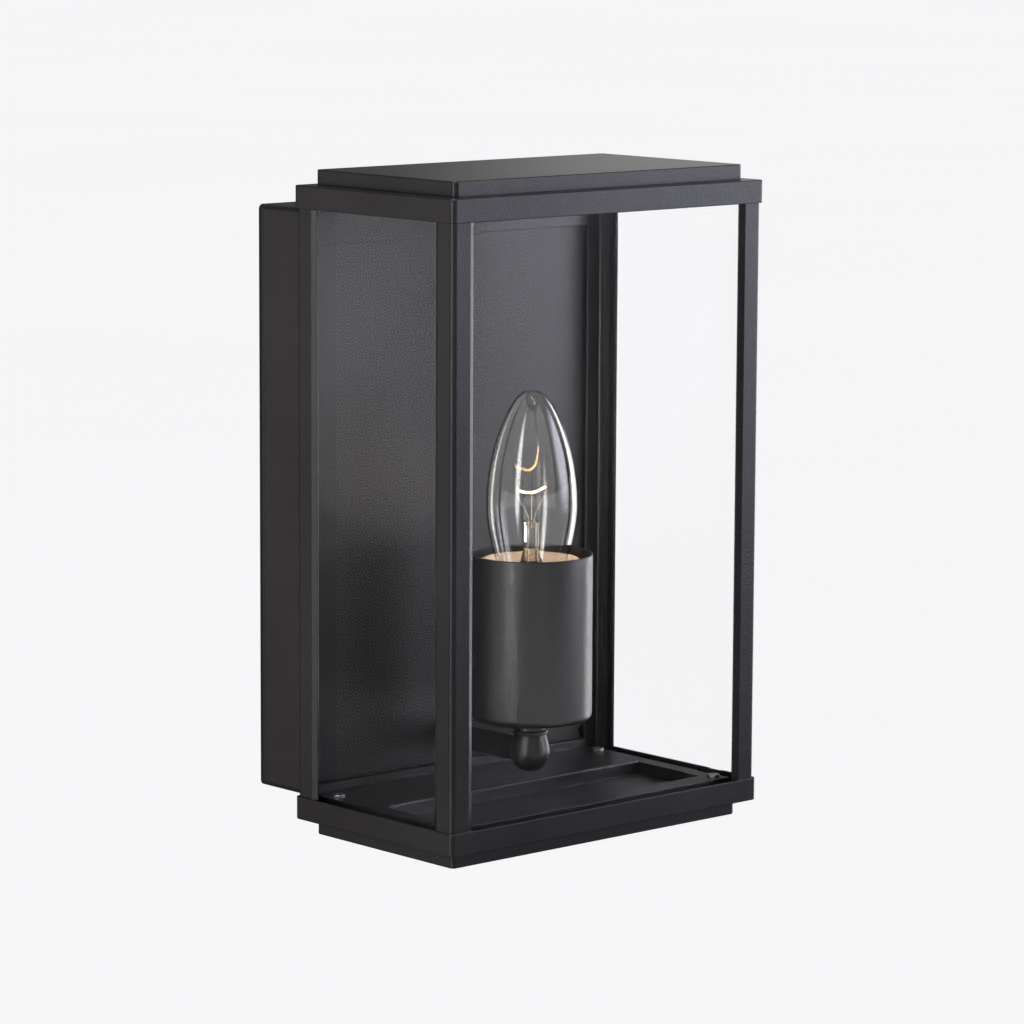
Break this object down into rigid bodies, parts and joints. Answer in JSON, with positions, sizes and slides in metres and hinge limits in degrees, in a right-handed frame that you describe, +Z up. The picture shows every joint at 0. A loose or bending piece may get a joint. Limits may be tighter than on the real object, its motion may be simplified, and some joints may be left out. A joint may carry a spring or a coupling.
{
  "type": "outdoor wall lantern",
  "caption": "Box-shaped outdoor wall lantern with bevelled clear panes, stepped roof and base, and a candle lamp standing in a cup on a short arm.",
  "frame": {"origin": "middle of the wall face, on the back of the wall gasket", "axes": "+Y into the wall, +Z up, +X to the right of someone who faces the lantern; the lantern stands out of the wall towards -Y"},
  "size_m": [0.162, 0.118, 0.26],
  "materials": {
    "black_coat": "near-black fine-textured satin powder coat on steel",
    "black_screw": "black zinc plated steel",
    "zinc": "bright zinc plated steel",
    "brass": "bright brass",
    "lamp_cap": "rolled nickel plated lamp cap",
    "solder": "dull solder dome",
    "porcelain": "glazed white porcelain",
    "nylon": "natural nylon",
    "black_rubber": "black rubber",
    "foam": "closed-cell foam sheet",
    "silicone": "black silicone",
    "wire_brown": "brown heat-resistant insulation",
    "wire_blue": "blue heat-resistant insulation",
    "wire_green": "green and yellow insulation",
    "clear_glass": "clear bevelled float glass",
    "lamp_glass": "clear blown lamp glass",
    "insulator_glass": "black vitrified insulator",
    "lead_wire": "nickel lead wire",
    "filament": "coiled tungsten"
  },
  "bodies": {
    "wall_unit": {"wall_gasket": "foam", "wall_box": "black_coat", "box_back": "black_coat", "cable_grommet": "black_rubber", "back_plate": "black_coat", "back_plate_screws": "black_screw", "upper_hanger": "black_coat", "lower_hanger": "black_coat", "hanger_rivets": "black_screw", "arm_tube": "black_coat", "arm_bush": "zinc", "arm_nut": "zinc", "lamp_hub": "black_coat", "hub_nipple": "zinc", "nipple_nuts": "zinc", "lamp_cup": "black_coat", "holder_bracket": "zinc", "holder_screws": "zinc", "lampholder_body": "porcelain", "lampholder_shell": "brass", "centre_contact": "brass", "holder_terminals": "brass", "terminal_block": "nylon", "terminal_screws": "zinc", "earth_stud": "zinc", "earth_nuts": "brass", "earth_lug": "brass", "live_wire": "wire_brown", "neutral_wire": "wire_blue", "earth_wire": "wire_green"},
    "lantern_body": {"roof_cap": "black_coat", "roof_studs": "zinc", "roof_nuts": "zinc", "roof_frame": "black_coat", "upper_guide": "zinc", "rear_top_rail": "black_coat", "post_front_left": "black_coat", "post_front_right": "black_coat", "post_rear_left": "black_coat", "post_rear_right": "black_coat", "pane_front": "clear_glass", "pane_left": "clear_glass", "pane_right": "clear_glass", "pane_seals": "silicone", "setting_blocks": "black_rubber", "deck": "black_coat", "deck_screws": "zinc", "standoffs": "zinc", "bottom_frame": "black_coat", "base_tray": "black_coat", "lock_bush": "zinc"},
    "bulb_base": {"bulb_contact": "solder", "bulb_insulator": "insulator_glass"},
    "bulb": {"bulb_cap": "lamp_cap", "bulb_glass": "lamp_glass", "bulb_stem": "lamp_glass", "bulb_leads": "lead_wire", "bulb_filament": "filament"},
    "lock_washer": {"lock_washer": "nylon"},
    "lock_screw": {"lock_screw": "black_screw"}
  },
  "joints": [
    {"name": "body_pull", "type": "slide", "parent": "wall_unit", "child": "lantern_body", "axis": [0, -1, 0], "range_m": [0, 0.11]},
    {"name": "bulb_lift", "type": "slide", "parent": "wall_unit", "child": "bulb_base", "axis": [0, 0, 1], "range_m": [0, 0.01448]},
    {"name": "bulb_turn", "type": "hinge", "parent": "bulb_base", "child": "bulb", "pos_m": [0, -0.072, 0], "axis": [0, 0, 1], "range_deg": [0, 1440]},
    {"name": "lock_travel", "type": "slide", "parent": "lantern_body", "child": "lock_washer", "axis": [0, 0, -1], "range_m": [0, 0.004]},
    {"name": "lock_turn", "type": "hinge", "parent": "lock_washer", "child": "lock_screw", "pos_m": [0, -0.045, -0.125], "axis": [0, 0, -1], "range_deg": [0, 1800]}
  ],
  "couplings": [
    {"joint": "bulb_turn", "follows": "bulb_lift", "rad_per_m": 1735.6},
    {"joint": "lock_turn", "follows": "lock_travel", "rad_per_m": 7853.9}
  ]
}
